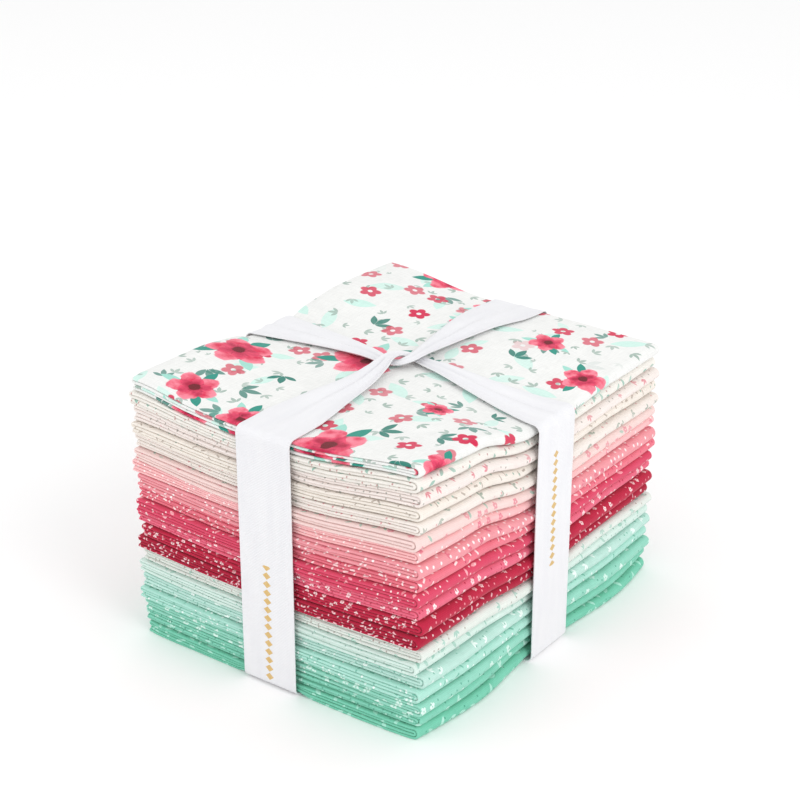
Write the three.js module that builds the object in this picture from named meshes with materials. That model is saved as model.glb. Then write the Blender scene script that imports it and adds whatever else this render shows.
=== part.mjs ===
// A bundle of folded fat quarters, tied both ways with a ribbon.
// Millimetres, +Z up. The origin is the middle of the base, on the surface that the bundle rests on.
// X runs across the stack, from the open ends of the folds (-X) to their closed sides (+X), and Y runs along
// the folds.
import * as THREE from 'three';

// One fat quarter is cut from the bolt, pressed in half twice along its length and twice across its width.
const CUT = { width: 457.2, length: 558.8 };
const HALF_X = CUT.width / 4 / 2;
const HALF_Y = CUT.length / 4 / 2;

// The first two folds make a strip of four plies. The last two fold that strip back and forth into layers.
const LAYER = { thick: 1.0, gap: 0.08, count: 4 };
const LAYER_PITCH = LAYER.thick + LAYER.gap;
const QUARTER_GAP = 0.43;
const QUARTER_THICK = LAYER.count * LAYER_PITCH - LAYER.gap;
const QUARTER_PITCH = QUARTER_THICK + QUARTER_GAP;

// How far the strip's folded edge is set in for each layer, and how its edges and corners are rounded.
const LAYER_TUCK = [0, 0.6, 0.35, 0.15];
const EDGE_ROUND = 0.4;
const CORNER_PULL = 0.4;
const CORNER_SHARPNESS = 6;

// Flat steps that stand for each round turn of the strip, and for each bend of the ribbon.
const TURN_STEPS = { outer: 4, open: 3, inner: 2 };
const BEND_STEPS = 3;

// Free ends of the strip at the open side of the folds, set in from the fold above them.
const FREE_END = { bottom: 0.5, inner: 1.3 };

// The ribbon narrows from its full width at the top edges to a gathered waist at the twist.
const RIBBON = { width: 21, thick: 1.0, gap: 0.3, innerBend: 1.8, sideRoom: 0.5 };
const GATHER = { waist: 8, height: 1.3, reach: 34, twist: 1.9 };
const RIBBON_COLOUR = '#f6f5f4';

// The ribbon lies in a groove that it presses into the lowest quarter, so the base stays flat around it.
const PRESSED_HALF = RIBBON.width / 2 + RIBBON.sideRoom;
const GROOVE = { half: PRESSED_HALF, ramp: 3, depth: RIBBON.thick + RIBBON.gap };

// Furthest that a quarter's edge stands out of line where the ribbon passes it.
const UNEVEN = 1.1;

// The quarters from the bottom up: colour, how far each lies out of line in X and Y, and its turn.
const QUARTERS = [
  { colour: '#6cc4a6', outX: 0.1, outY: -0.1, turnDeg: 0.1 },
  { colour: '#79cdb2', outX: -0.5, outY: 0.5, turnDeg: -0.4 },
  { colour: '#93d6c1', outX: 0.6, outY: 0.2, turnDeg: 0.3 },
  { colour: '#a9e0d0', outX: -0.3, outY: -0.7, turnDeg: 0.5 },
  { colour: '#9fd3c5', outX: 0.4, outY: 0.6, turnDeg: -0.3 },
  { colour: '#c6ddd5', outX: -0.8, outY: -0.2, turnDeg: -0.5 },
  { colour: '#dfe3da', outX: 0.5, outY: 0.8, turnDeg: 0.2 },
  { colour: '#a92440', outX: -0.2, outY: -0.5, turnDeg: 0.4 },
  { colour: '#bb304b', outX: 0.8, outY: 0.1, turnDeg: -0.2 },
  { colour: '#df7284', outX: -0.6, outY: 0.4, turnDeg: 0.3 },
  { colour: '#cb4d64', outX: 0.3, outY: -0.8, turnDeg: -0.5 },
  { colour: '#e995a0', outX: -0.1, outY: 0.7, turnDeg: 0.1 },
  { colour: '#edacb1', outX: 0.7, outY: -0.3, turnDeg: 0.5 },
  { colour: '#efc6c5', outX: -0.7, outY: 0.2, turnDeg: -0.3 },
  { colour: '#efe0da', outX: 0.2, outY: -0.6, turnDeg: 0.2 },
  { colour: '#ece6df', outX: 0.6, outY: 0.5, turnDeg: -0.4 },
  { colour: '#e9e4dc', outX: -0.4, outY: -0.1, turnDeg: 0.4 },
  { colour: '#efe8e2', outX: 0.4, outY: 0.6, turnDeg: -0.1 },
  { colour: '#ebe9e3', outX: -0.5, outY: -0.4, turnDeg: 0.3 },
  { colour: '#f4f1ef', outX: 0.1, outY: 0.1, turnDeg: -0.1 },
];
const CLOTH_ROUGHNESS = 0.95;
const RIBBON_ROUGHNESS = 0.6;

// Height of the stack in sections along Y: at its open side, under the ribbon that runs along Y, and at its
// folds. The ribbon draws the stack down, the corners stand up, and the far corner by the folds droops.
const SHOULDER_Y = 40;
const TOP_SECTIONS = [
  { y: -HALF_Y, open: 90.2, ribbon: 87.5, fold: 92.1 },
  { y: -SHOULDER_Y, open: 90.0, ribbon: 88.0, fold: 90.0 },
  { y: -PRESSED_HALF, open: 87.5, ribbon: 87.0, fold: 83.2 },
  { y: PRESSED_HALF, open: 87.5, ribbon: 87.0, fold: 83.2 },
  { y: SHOULDER_Y, open: 91.0, ribbon: 88.0, fold: 84.6 },
  { y: HALF_Y, open: 92.0, ribbon: 87.5, fold: 84.1 },
];
const STACK_NOMINAL = QUARTERS.length * QUARTER_PITCH - QUARTER_GAP;

// Index of the stretch between stops that holds a value. The end stretches run on past the last stops.
function stretchOf(stops, value) {
  let index = 0;
  while (index < stops.length - 2 && value > stops[index + 1]) index += 1;
  return index;
}

function alongStretch(stops, values, value) {
  const index = stretchOf(stops, value);
  const share = (value - stops[index]) / (stops[index + 1] - stops[index]);
  return values[index] + share * (values[index + 1] - values[index]);
}

function stackHeight(x, y) {
  const acrossStops = [-HALF_X, -PRESSED_HALF, PRESSED_HALF, HALF_X];
  const heights = TOP_SECTIONS.map(({ open, ribbon, fold }) =>
    alongStretch(acrossStops, [open, ribbon, ribbon, fold], x));
  return alongStretch(TOP_SECTIONS.map(({ y: stop }) => stop), heights, y);
}

// Share of the groove's depth at a place on the base: 1 under the ribbon, 0 beside it.
function grooveShare(x, y) {
  const nearest = Math.min(Math.abs(x), Math.abs(y));
  return THREE.MathUtils.clamp((GROOVE.half + GROOVE.ramp - nearest) / GROOVE.ramp, 0, 1);
}

// Moves a point of the evenly stacked quarters to its height in the tied bundle.
function tiedHeight(x, y, z) {
  const pressed = z * stackHeight(x, y) / STACK_NOMINAL;
  const groove = GROOVE.depth * grooveShare(x, y) * Math.max(0, 1 - z / QUARTER_THICK);
  return pressed + groove;
}

// Stations of a round turn of the strip between two layers, from one angle to another about its centre, which
// is set in from an edge of the quarter. The side is -1 where the strip's upper face is inside the turn.
function turnStations({ edge, inset, height, radius, angles, steps, side, tucks }) {
  return Array.from({ length: steps + 1 }, (_, step) => {
    const share = step / steps;
    const angle = THREE.MathUtils.degToRad(THREE.MathUtils.lerp(...angles, share));
    const out = new THREE.Vector2(Math.cos(angle), Math.sin(angle));
    return {
      edge,
      x: inset + radius * out.x,
      z: height + radius * out.y,
      normal: out.multiplyScalar(side),
      tuck: THREE.MathUtils.lerp(...tucks, share),
    };
  });
}

// Stations of the straight stretch of a layer between its ends, in the direction that the strip runs there.
function runStations(stops, height, direction, tuck) {
  const ordered = direction > 0 ? stops : [...stops].reverse();
  return ordered.map((x) => ({ edge: null, x, z: height, normal: new THREE.Vector2(0, direction), tuck }));
}

// The strip's way through one quarter: bottom layer to the closed side, round to the top layer, back to the
// open side, down to the third layer, and round inside the first turn to the second layer.
function foldStations(base, xStops) {
  const layer = (index) => base + LAYER.thick / 2 + index * LAYER_PITCH;
  const outerRadius = (layer(3) - layer(0)) / 2;
  const innerRadius = (layer(2) - layer(1)) / 2;
  const [tuck0, tuck1, tuck2, tuck3] = LAYER_TUCK;
  const freeEnd = (x, index, direction) => (
    { edge: 'left', x, z: layer(index), normal: new THREE.Vector2(0, direction), tuck: LAYER_TUCK[index] });
  const between = (lower, upper) => (layer(lower) + layer(upper)) / 2;
  const closedSide = { edge: 'right', inset: -outerRadius - LAYER.thick / 2, height: between(0, 3) };
  const openSide = { edge: 'left', inset: innerRadius + LAYER.thick / 2, height: between(2, 3) };
  const outerTurn = { radius: outerRadius, angles: [-90, 90], steps: TURN_STEPS.outer, side: -1 };
  const openTurn = { radius: innerRadius, angles: [90, 270], steps: TURN_STEPS.open, side: -1 };
  const innerTurn = { radius: innerRadius, angles: [90, -90], steps: TURN_STEPS.inner, side: 1 };
  return [
    freeEnd(FREE_END.bottom, 0, 1),
    ...runStations(xStops, layer(0), 1, tuck0),
    ...turnStations({ ...closedSide, ...outerTurn, tucks: [tuck0, tuck3] }),
    ...runStations(xStops, layer(3), -1, tuck3),
    ...turnStations({ ...openSide, ...openTurn, tucks: [tuck3, tuck2] }),
    ...runStations(xStops, layer(2), 1, tuck2),
    ...turnStations({ ...closedSide, ...innerTurn, tucks: [tuck2, tuck1] }),
    ...runStations(xStops, layer(1), -1, tuck1),
    freeEnd(FREE_END.inner, 1, -1),
  ];
}

// Where a quarter's edges lie: a half size, shifted and turned, drawn in a little at the corners.
function quarterEdges({ outX, outY, turnDeg }) {
  const turn = THREE.MathUtils.degToRad(turnDeg);
  const pull = (along, half) => CORNER_PULL * Math.min(1, Math.abs(along) / half) ** CORNER_SHARPNESS;
  return {
    left: (y) => -HALF_X + outX - turn * y + pull(y, HALF_Y),
    right: (y) => HALF_X + outX - turn * y - pull(y, HALF_Y),
    front: (x) => -HALF_Y + outY + turn * x + pull(x, HALF_X),
    back: (x) => HALF_Y + outY + turn * x - pull(x, HALF_X),
  };
}

// One ring of points round the strip at a station: the lower face from front to back, the rounded back edge,
// the upper face from back to front, and the rounded front edge.
function stripRing(station, edges, yStops) {
  const nominalX = (station.edge ? edges[station.edge](0) : 0) + station.x;
  const front = edges.front(nominalX) + station.tuck;
  const back = edges.back(nominalX) - station.tuck;
  const columns = [front + EDGE_ROUND, ...yStops, back - EDGE_ROUND];
  const point = (y, side) => {
    const offset = side * LAYER.thick / 2;
    const x = (station.edge ? edges[station.edge](y) : 0) + station.x + offset * station.normal.x;
    const z = station.z + offset * station.normal.y;
    return new THREE.Vector3(x, y, tiedHeight(x, y, z));
  };
  return [
    ...columns.map((y) => point(y, -1)),
    point(back, 0),
    ...[...columns].reverse().map((y) => point(y, 1)),
    point(front, 0),
  ];
}

function geometryOf(points, triangles) {
  const geometry = new THREE.BufferGeometry().setFromPoints(points);
  geometry.setIndex(triangles.flat());
  geometry.computeVertexNormals();
  return geometry;
}

// Both triangles of a four-sided face. The diagonal always runs towards +X and +Y, so that layers nest.
function nestedTriangles(points, [a, b, c, d]) {
  const slant = (points[c].x - points[a].x) * (points[c].y - points[a].y);
  return slant >= 0 ? [[a, b, c], [a, c, d]] : [[a, b, d], [b, c, d]];
}

// A closed solid through rings of equal length, its two ends closed between the ring's two faces.
function ringSolid(rings) {
  const points = rings.flat();
  const size = rings[0].length;
  const columns = (size - 2) / 2;
  const triangles = [];
  for (let ring = 0; ring < rings.length - 1; ring += 1) {
    for (let spot = 0; spot < size; spot += 1) {
      const here = ring * size + spot;
      const beside = ring * size + (spot + 1) % size;
      triangles.push(...nestedTriangles(points, [here, beside, beside + size, here + size]));
    }
  }
  const last = (rings.length - 1) * size;
  const upper = (column) => 2 * columns - column;
  const capFaces = [[0, upper(0), 2 * columns + 1], [columns - 1, columns, upper(columns - 1)]];
  for (let column = 0; column < columns - 1; column += 1) {
    capFaces.push([column, column + 1, upper(column + 1)], [column, upper(column + 1), upper(column)]);
  }
  capFaces.forEach(([a, b, c]) => triangles.push([a, c, b], [last + a, last + b, last + c]));
  return geometryOf(points, triangles);
}

function clothMaterial(colour, roughness) {
  return new THREE.MeshStandardMaterial({ color: colour, roughness, metalness: 0 });
}

function fatQuarter(quarter, index) {
  const pressed = [-PRESSED_HALF, PRESSED_HALF];
  const beside = GROOVE.half + GROOVE.ramp;
  const xStops = index === 0 ? [-beside, ...pressed, beside] : pressed;
  const yStops = [-SHOULDER_Y, ...xStops, SHOULDER_Y];
  const edges = quarterEdges(quarter);
  const stations = foldStations(index * QUARTER_PITCH, xStops);
  const rings = stations.map((station) => stripRing(station, edges, yStops));
  const mesh = new THREE.Mesh(ringSolid(rings), clothMaterial(quarter.colour, CLOTH_ROUGHNESS));
  mesh.name = `fat_quarter_${String(index + 1).padStart(2, '0')}`;
  return mesh;
}

// Vertices closer than this are one vertex.
const SAME_PLACE = 0.001;

// A closed solid of a sheet given by four-sided faces. Each vertex has its place on the lower skin and the
// vector from there to the upper skin. Faces that share a place share its vertex, and free edges get a wall.
class ThickSheet {
  constructor() {
    this.vertices = [];
    this.indexOf = new Map();
    this.faces = [];
  }

  vertex(lower, through) {
    const key = lower.toArray().map((value) => Math.round(value / SAME_PLACE)).join(' ');
    if (!this.indexOf.has(key)) {
      this.indexOf.set(key, this.vertices.length);
      this.vertices.push({ lower, through });
    }
    return this.indexOf.get(key);
  }

  // Rows of equal length. The upper skin faces the viewer when rows run up and spots run to the right.
  rows(rows) {
    for (let row = 0; row < rows.length - 1; row += 1) {
      for (let spot = 0; spot < rows[row].length - 1; spot += 1) {
        this.faces.push([rows[row][spot], rows[row][spot + 1], rows[row + 1][spot + 1], rows[row + 1][spot]]);
      }
    }
  }

  freeEdges() {
    const edgesOf = (face) => face.map((vertex, corner) => [vertex, face[(corner + 1) % face.length]]);
    const edges = this.faces.flatMap(edgesOf);
    const known = new Set(edges.map(([from, to]) => `${from} ${to}`));
    return edges.filter(([from, to]) => !known.has(`${to} ${from}`));
  }

  geometry() {
    const count = this.vertices.length;
    const lower = this.vertices.map((vertex) => vertex.lower);
    const upper = this.vertices.map((vertex) => vertex.lower.clone().add(vertex.through));
    const triangles = [];
    const quad = (a, b, c, d) => triangles.push([a, b, c], [a, c, d]);
    this.faces.forEach(([a, b, c, d]) => {
      quad(a + count, b + count, c + count, d + count);
      quad(d, c, b, a);
    });
    this.freeEdges().forEach(([from, to]) => quad(from, to, to + count, from + count));
    return geometryOf([...lower, ...upper], triangles);
  }
}

const RIBBON_ARMS = [
  { turnDeg: 0, halfSize: HALF_X, topStops: [PRESSED_HALF] },
  { turnDeg: 90, halfSize: HALF_Y, topStops: [SHOULDER_Y, PRESSED_HALF] },
  { turnDeg: 180, halfSize: HALF_X, topStops: [PRESSED_HALF] },
  { turnDeg: 270, halfSize: HALF_Y, topStops: [SHOULDER_Y, PRESSED_HALF] },
];
const RIBBON_SPOTS = [-1, 0, 1];

// Sections of one arm of the ribbon, from the crossing below, round the bottom edge, up the face and over the
// top edge to the twist: distance from the middle, height of the skin next to the stack, half width and the
// outward direction. Heights from the top bend on are counted from the top of the stack.
function armSections({ halfSize, topStops }) {
  const face = halfSize + UNEVEN + RIBBON.gap;
  const half = RIBBON.width / 2;
  const waist = GATHER.waist / 2;
  const taper = (reach) => THREE.MathUtils.mapLinear(reach, waist, face, waist, half);
  const bend = (angles, height, onTop) => Array.from({ length: BEND_STEPS + 1 }, (_, step) => {
    const angle = THREE.MathUtils.degToRad(THREE.MathUtils.lerp(...angles, step / BEND_STEPS));
    const out = new THREE.Vector2(Math.cos(angle), Math.sin(angle));
    const reach = face - RIBBON.innerBend + RIBBON.innerBend * out.x;
    const width = onTop ? taper(reach) : half;
    return { reach, height: height + RIBBON.innerBend * out.y, half: width, out, onTop };
  });
  const onTopAt = (reach) => (
    { reach, height: RIBBON.gap, half: taper(reach), out: new THREE.Vector2(0, 1), onTop: true });
  return [
    { reach: half, height: RIBBON.thick, half, out: new THREE.Vector2(0, -1), onTop: false },
    ...bend([-90, 0], RIBBON.thick + RIBBON.innerBend, false),
    ...bend([0, 90], RIBBON.gap - RIBBON.innerBend, true),
    ...topStops.map(onTopAt),
    onTopAt(waist),
  ];
}

// How far the gathered ribbon stands up along its middle, near the twist.
function gatherHeight(reach, spot) {
  const share = Math.max(0, 1 - reach / GATHER.reach);
  return spot === 0 ? GATHER.height * share : 0;
}

// The square where the arms meet, three vertices a side. Its rim is shared with the arms.
function crossing(sheet, half, heightAt, through) {
  return RIBBON_SPOTS.map((row) => RIBBON_SPOTS.map((spot) => {
    const lower = new THREE.Vector3(spot * half, row * half, 0);
    lower.z = heightAt(lower.x, lower.y);
    return sheet.vertex(lower, new THREE.Vector3(0, 0, through));
  }));
}

function armRows(sheet, arm) {
  const turn = new THREE.Matrix4().makeRotationZ(THREE.MathUtils.degToRad(arm.turnDeg));
  return armSections(arm).map((section) => RIBBON_SPOTS.map((spot) => {
    const lower = new THREE.Vector3(section.reach, spot * section.half, section.height).applyMatrix4(turn);
    if (section.onTop) lower.z += stackHeight(lower.x, lower.y);
    const thick = RIBBON.thick + (section.onTop ? gatherHeight(section.reach, spot) : 0);
    const through = new THREE.Vector3(section.out.x, 0, section.out.y).applyMatrix4(turn);
    return sheet.vertex(lower, through.multiplyScalar(thick));
  }));
}

function ribbon() {
  const sheet = new ThickSheet();
  RIBBON_ARMS.forEach((arm) => sheet.rows(armRows(sheet, arm)));
  const underStack = () => RIBBON.thick;
  const onStack = (x, y) => stackHeight(x, y) + RIBBON.gap;
  sheet.rows(crossing(sheet, RIBBON.width / 2, underStack, -RIBBON.thick).reverse());
  sheet.rows(crossing(sheet, GATHER.waist / 2, onStack, RIBBON.thick + GATHER.twist));
  const mesh = new THREE.Mesh(sheet.geometry(), clothMaterial(RIBBON_COLOUR, RIBBON_ROUGHNESS));
  mesh.name = 'ribbon';
  return mesh;
}

const bundle = new THREE.Group();
bundle.name = 'fat_quarter_bundle';
QUARTERS.forEach((quarter, index) => bundle.add(fatQuarter(quarter, index)));
bundle.add(ribbon());

export default bundle;
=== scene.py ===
"""The looks of a fat quarter bundle: folded printed cottons in a stack, tied both ways with a white ribbon.

Sizes are in millimetres until a mesh is made. The frame is the CAD model's: the origin is the middle of the
base, +Z is up, +X is the side where the folds close, and Y runs along those folds.
"""
import math

import bpy
import numpy as np
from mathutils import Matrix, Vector


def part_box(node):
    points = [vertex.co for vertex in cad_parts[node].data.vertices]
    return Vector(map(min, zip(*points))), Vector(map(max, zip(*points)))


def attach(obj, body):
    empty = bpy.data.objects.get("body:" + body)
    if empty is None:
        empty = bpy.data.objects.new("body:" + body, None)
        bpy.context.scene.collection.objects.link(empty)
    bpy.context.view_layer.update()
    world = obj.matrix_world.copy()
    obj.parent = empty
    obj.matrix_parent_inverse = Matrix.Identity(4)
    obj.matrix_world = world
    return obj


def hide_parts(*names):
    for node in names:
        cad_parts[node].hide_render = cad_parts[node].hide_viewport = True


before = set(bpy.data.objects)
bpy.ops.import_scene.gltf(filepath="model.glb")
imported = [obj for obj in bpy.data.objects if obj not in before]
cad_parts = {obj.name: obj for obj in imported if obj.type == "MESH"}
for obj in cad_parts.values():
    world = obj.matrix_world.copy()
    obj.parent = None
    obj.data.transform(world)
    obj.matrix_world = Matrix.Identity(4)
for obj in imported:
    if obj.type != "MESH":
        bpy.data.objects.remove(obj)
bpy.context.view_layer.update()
MM = 0.001

# One fat quarter: its cut size, and its size once it is folded in four both ways.
CUT_WIDTH = 457.2
CUT_LENGTH = 558.8
FOLDED_IN = 4
HALF_X = CUT_WIDTH / FOLDED_IN / 2
HALF_Y = CUT_LENGTH / FOLDED_IN / 2

# Four plies make a layer, four layers make a quarter, and the quarters are stacked.
PLY_PITCH = 0.25
PLY_THICK = 0.16
PRESSED_PLY_THICK = 0.12
LAYER_PITCH = 1.08
LAYER_THICK = 1.0
QUARTER_THICK = 4.24
QUARTER_PITCH = 4.67
QUARTER_COUNT = 20
STACK_NOMINAL = QUARTER_COUNT * QUARTER_PITCH - (QUARTER_PITCH - QUARTER_THICK)

# The ribbon, the strip that it presses down on the top, and the groove that it presses into the underside.
RIBBON_WIDTH = 21.0
RIBBON_THICK = 0.3
PRESSED_HALF = 11.0
SHOULDER_Y = 40.0
GROOVE_DEPTH = 0.85
GROOVE_RAMP = 4.0

# How far the free ends are set in, how far the corners are drawn in, most of all in the lowest quarters, and
# how far the fold side of the low quarters swells out.
FREE_END = {"bottom": 0.5, "inner": 1.3}
CORNER_PULL = 0.5
CORNER_SHARPNESS = 9
LOW_CORNER_PULL = 0.9
LOW_QUARTERS = 2
BELLY_OUT = 2.2
BELLY_QUARTERS = 6

# How each quarter differs from the next: its turn, the roundness of its folds, and the waves of its edges.
TURN_LIMIT_DEG = 0.35
BULGE_RANGE = (0.85, 1.25)
PLY_BULGE = 1.0
EDGE_WAVE_FROM = 0.7
EDGE_WAVE_SIZE = {"fold": 0.28, "open": 0.35, "side": 0.3}
EDGE_WAVES = [
    {"share": 1.0, "length": 37.0},
    {"share": 0.6, "length": 16.0},
    {"share": 0.35, "length": 7.0},
]

# Waves of the faces between the quarters: heights, and lengths along X and Y.
FACE_BROAD = {"height": 0.32, "x": 29.0, "y": 33.0}
FACE_RIPPLE = {"height": 0.13, "x": 12.0, "y": 13.0}

# Height of the stack in sections along Y: at its open side, under the ribbon along Y, and at its folds.
TOP_SECTIONS = [
    {"y": -HALF_Y, "open": 90.2, "ribbon": 87.5, "fold": 92.1},
    {"y": -SHOULDER_Y, "open": 90.0, "ribbon": 88.0, "fold": 90.0},
    {"y": -PRESSED_HALF, "open": 87.5, "ribbon": 87.0, "fold": 83.2},
    {"y": PRESSED_HALF, "open": 87.5, "ribbon": 87.0, "fold": 83.2},
    {"y": SHOULDER_Y, "open": 91.0, "ribbon": 88.0, "fold": 84.6},
    {"y": HALF_Y, "open": 92.0, "ribbon": 86.3, "fold": 84.4},
]

# Where the cloth has its points, closest where it bends most, and the steps round each turn of a fold.
SIDE_X = [11, 15, 24, 34, 44, 52]
SIDE_Y = [11, 15, 20, 25, 30, 35, 40, 48, 57, 65]
STOPS_X = np.array([-x for x in SIDE_X[::-1]] + [0] + SIDE_X, float)
STOPS_Y = np.array([-y for y in SIDE_Y[::-1]] + [0] + SIDE_Y, float)
TOP_FINENESS = 2
LAYER_TURN_STEPS = {"outer": 8, "open": 5, "inner": 5}
PLY_TURN_STEPS = {"outer": 6, "open": 4, "inner": 4}
SHARP_ANGLE_DEG = 65
SMALLEST_LENGTH = 1e-9

# Room on a cloth's baked image for each part of a fold, in turn: run, outer turn, run, open turn, run,
# inner turn and run, with its end. The outer ply of the top and bottom layers shows, and elsewhere only the
# edges do.
IMAGE_SHARES = {
    "plies": [1.0, 2.0, 0.2, 2.0, 0.2, 2.0, 0.2, 0.2],
    "top": [0.3, 2.0, 1.0, 2.0, 0.3, 2.0, 0.3, 0.3],
    "bottom": [1.0, 2.0, 0.3, 2.0, 0.3, 2.0, 0.3, 0.3],
    "edges": [1.0, 3.0, 1.0, 3.0, 1.0, 3.0, 1.0, 1.0],
}
SHOWN_LAYERS = {0: "bottom", QUARTER_COUNT - 1: "top"}
IMAGE_EDGE = 0.002

# Soft creases in the upper quarters, pressed in (-) or standing up (+), and the broad swells between the
# ribbon and the corners: from, to, half width and height.
CREASES = [
    {"start": (12, -62), "end": (34, -34), "half": 5.0, "height": 0.5},
    {"start": (14, -46), "end": (48, -52), "half": 4.0, "height": -0.4},
    {"start": (52, -14), "end": (24, -24), "half": 4.0, "height": 0.5},
    {"start": (-13, -60), "end": (-40, -40), "half": 5.0, "height": 0.45},
    {"start": (-52, -13), "end": (-24, -30), "half": 4.5, "height": -0.4},
    {"start": (13, 58), "end": (38, 36), "half": 5.0, "height": 0.45},
    {"start": (-13, 55), "end": (-36, 30), "half": 5.0, "height": 0.4},
    {"start": (-52, -62), "end": (-52, -22), "half": 13.0, "height": 2.2},
    {"start": (-52, 20), "end": (-48, 46), "half": 12.0, "height": 1.8},
    {"start": (34, 58), "end": (50, 62), "half": 12.0, "height": 1.0},
]

# Creases fade in over this distance from the ribbon, and from this share of the stack's height up.
CREASE_FADE = 6.0
CREASE_FROM = 0.8

# The camera stands where the photograph was taken from, and looks at a place above the bundle's middle.
CAMERA_AZIMUTH_DEG = 36.28
CAMERA_ELEVATION_DEG = 23.24
CAMERA_DISTANCE = 605.7
CAMERA_AIM = (-7.3, 7.8, 69.7)
CAMERA_SENSOR = 36.0
CAMERA_LENS = 81.0
CAMERA_CLIP = 10.0

# The floor, the even surround and the soft lights, which are placed in metres.
FLOOR_REACH = 4.0
FLOOR_HUE = "#fbfbfb"
FLOOR_ROUGHNESS = 0.9
SURROUND_STRENGTH = 0.95
LIGHT_AIM = (0.0, 0.0, 0.05)
LIGHTS = [
    {"name": "key", "place": (0.95, -0.2, 0.75), "size": 0.7, "power": 3.5},
    {"name": "fill", "place": (-0.5, -1.0, 0.6), "size": 0.9, "power": 1.8},
    {"name": "top", "place": (-0.6, 0.5, 1.2), "size": 0.9, "power": 0.5},
]

# The prints from the bottom up. Each has its ground colour, a second tone that mottles it, and layers of
# small motifs: kind, colour, pitch and size in millimetres, and the share of places that hold one.
PRINTS = [
    {"ground": "#80cfb5", "tone": "#70c3a7", "layers": [
        ("leaf", "#b4e6d6", 5.0, 3.6, 0.8), ("dot", "#4a9a81", 3.0, 0.6, 0.7)]},
    {"ground": "#8ad2bb", "tone": "#7ac7ae", "layers": [
        ("sprig", "#c4ecdf", 6.0, 4.6, 0.9), ("dot", "#559f88", 3.0, 0.6, 0.6)]},
    {"ground": "#9bd9c6", "tone": "#8bcdb8", "layers": [
        ("flower", "#dff5ed", 5.0, 2.4, 0.8), ("dot", "#5ba48e", 3.0, 0.6, 0.6)]},
    {"ground": "#b4e3d6", "tone": "#a5d9c9", "layers": [
        ("dash", "#72b8a3", 3.2, 1.8, 0.7), ("dot", "#f0faf6", 2.8, 0.8, 0.6)]},
    {"ground": "#c1e4da", "tone": "#b2d9cd", "layers": [
        ("sprig", "#eef8f4", 5.6, 4.0, 0.8), ("dot", "#72b3a0", 2.8, 0.6, 0.6)]},
    {"ground": "#d8ebe4", "tone": "#cbe1d8", "layers": [
        ("leaf", "#9fc9bb", 4.2, 3.0, 0.8), ("dot", "#7da79a", 2.6, 0.5, 0.6)]},
    {"ground": "#e3e9e3", "tone": "#d9e1da", "layers": [
        ("sprig", "#a3cdbf", 5.4, 4.0, 0.8), ("dot", "#a9a29a", 2.8, 0.6, 0.5)]},
    {"ground": "#b5163b", "tone": "#a01233", "layers": [
        ("dash", "#f0c3c9", 2.8, 1.4, 0.6), ("dot", "#f8e6e6", 2.6, 0.6, 0.6)]},
    {"ground": "#c32346", "tone": "#b01c3d", "layers": [
        ("flower", "#f8e3e3", 3.6, 1.6, 0.6), ("dot", "#ee9aa8", 2.4, 0.6, 0.6)]},
    {"ground": "#e8718a", "tone": "#df607b", "layers": [
        ("flower", "#fdf0ef", 3.8, 1.8, 0.7), ("dot", "#b92c4d", 2.4, 0.6, 0.7)]},
    {"ground": "#dd4f6d", "tone": "#cf4060", "layers": [
        ("leaf", "#f7b3bc", 4.0, 2.8, 0.8), ("dot", "#fdebea", 3.0, 0.6, 0.6)]},
    {"ground": "#ea8090", "tone": "#e37082", "layers": [
        ("dash", "#fdeceb", 3.2, 1.8, 0.7), ("dot", "#c8486a", 3.0, 0.6, 0.6)]},
    {"ground": "#ec9fa7", "tone": "#e6919a", "layers": [
        ("dot", "#fef4f3", 2.6, 0.9, 0.9), ("sprig", "#d96a80", 5.6, 3.8, 0.6)]},
    {"ground": "#f6c4c5", "tone": "#f2b6b8", "layers": [
        ("flower", "#e17f92", 5.0, 2.2, 0.7), ("dot", "#fef5f3", 2.8, 0.7, 0.7)]},
    {"ground": "#f0d7d3", "tone": "#eaccc8", "layers": [
        ("flower", "#e38f9b", 5.4, 2.4, 0.7), ("leaf", "#a9c4b5", 4.2, 2.4, 0.5)]},
    {"ground": "#efe7e1", "tone": "#e8dfd8", "layers": [
        ("sprig", "#a3aea2", 5.6, 4.2, 0.7), ("dot", "#d58f93", 3.4, 0.7, 0.5)]},
    {"ground": "#efe8e0", "tone": "#e7dfd5", "layers": [
        ("dash", "#b3a79c", 3.4, 1.7, 0.6), ("dot", "#93b5a6", 3.6, 0.7, 0.5)]},
    {"ground": "#f1e8e3", "tone": "#e9ded9", "layers": [
        ("sprig", "#dc8f98", 6.0, 4.0, 0.6), ("dot", "#a5a099", 3.0, 0.6, 0.6)]},
    {"ground": "#efebe5", "tone": "#e6e2db", "layers": [
        ("leaf", "#96bbad", 4.8, 3.0, 0.6), ("dot", "#c0928f", 3.2, 0.6, 0.5)]},
    {"ground": "#ededeb", "tone": "#e5e6e4", "layers": [
        ("wash", "#c9ebe1", 17.0, 14.0, 0.7), ("sprig", "#9fb4aa", 9.0, 7.0, 0.75),
        ("spray", "#187a6c", 18.0, 14.0, 0.55), ("flower", "#d0264f", 16.0, 8.0, 0.5),
        ("bloom", "#d81f4c", 33.0, 26.0, 0.8)]},
]

# Seeds of the random draws for faces, quarters and prints, each for the first of them.
FACE_SEED = 7
QUARTER_SEED = 700
PRINT_SEED = 6


def colour(text):
    """A colour written as #rrggbb, as the linear red, green, blue and alpha that Blender takes."""
    parts = [int(text[i:i + 2], 16) / 255 for i in (1, 3, 5)]
    linear = [p / 12.92 if p <= 0.04045 else ((p + 0.055) / 1.055) ** 2.4 for p in parts]
    return (*linear, 1.0)


# Shapes of the folded cloth

def smooth_share(value):
    share = np.clip(value, 0.0, 1.0)
    return share * share * (3 - 2 * share)


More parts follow.
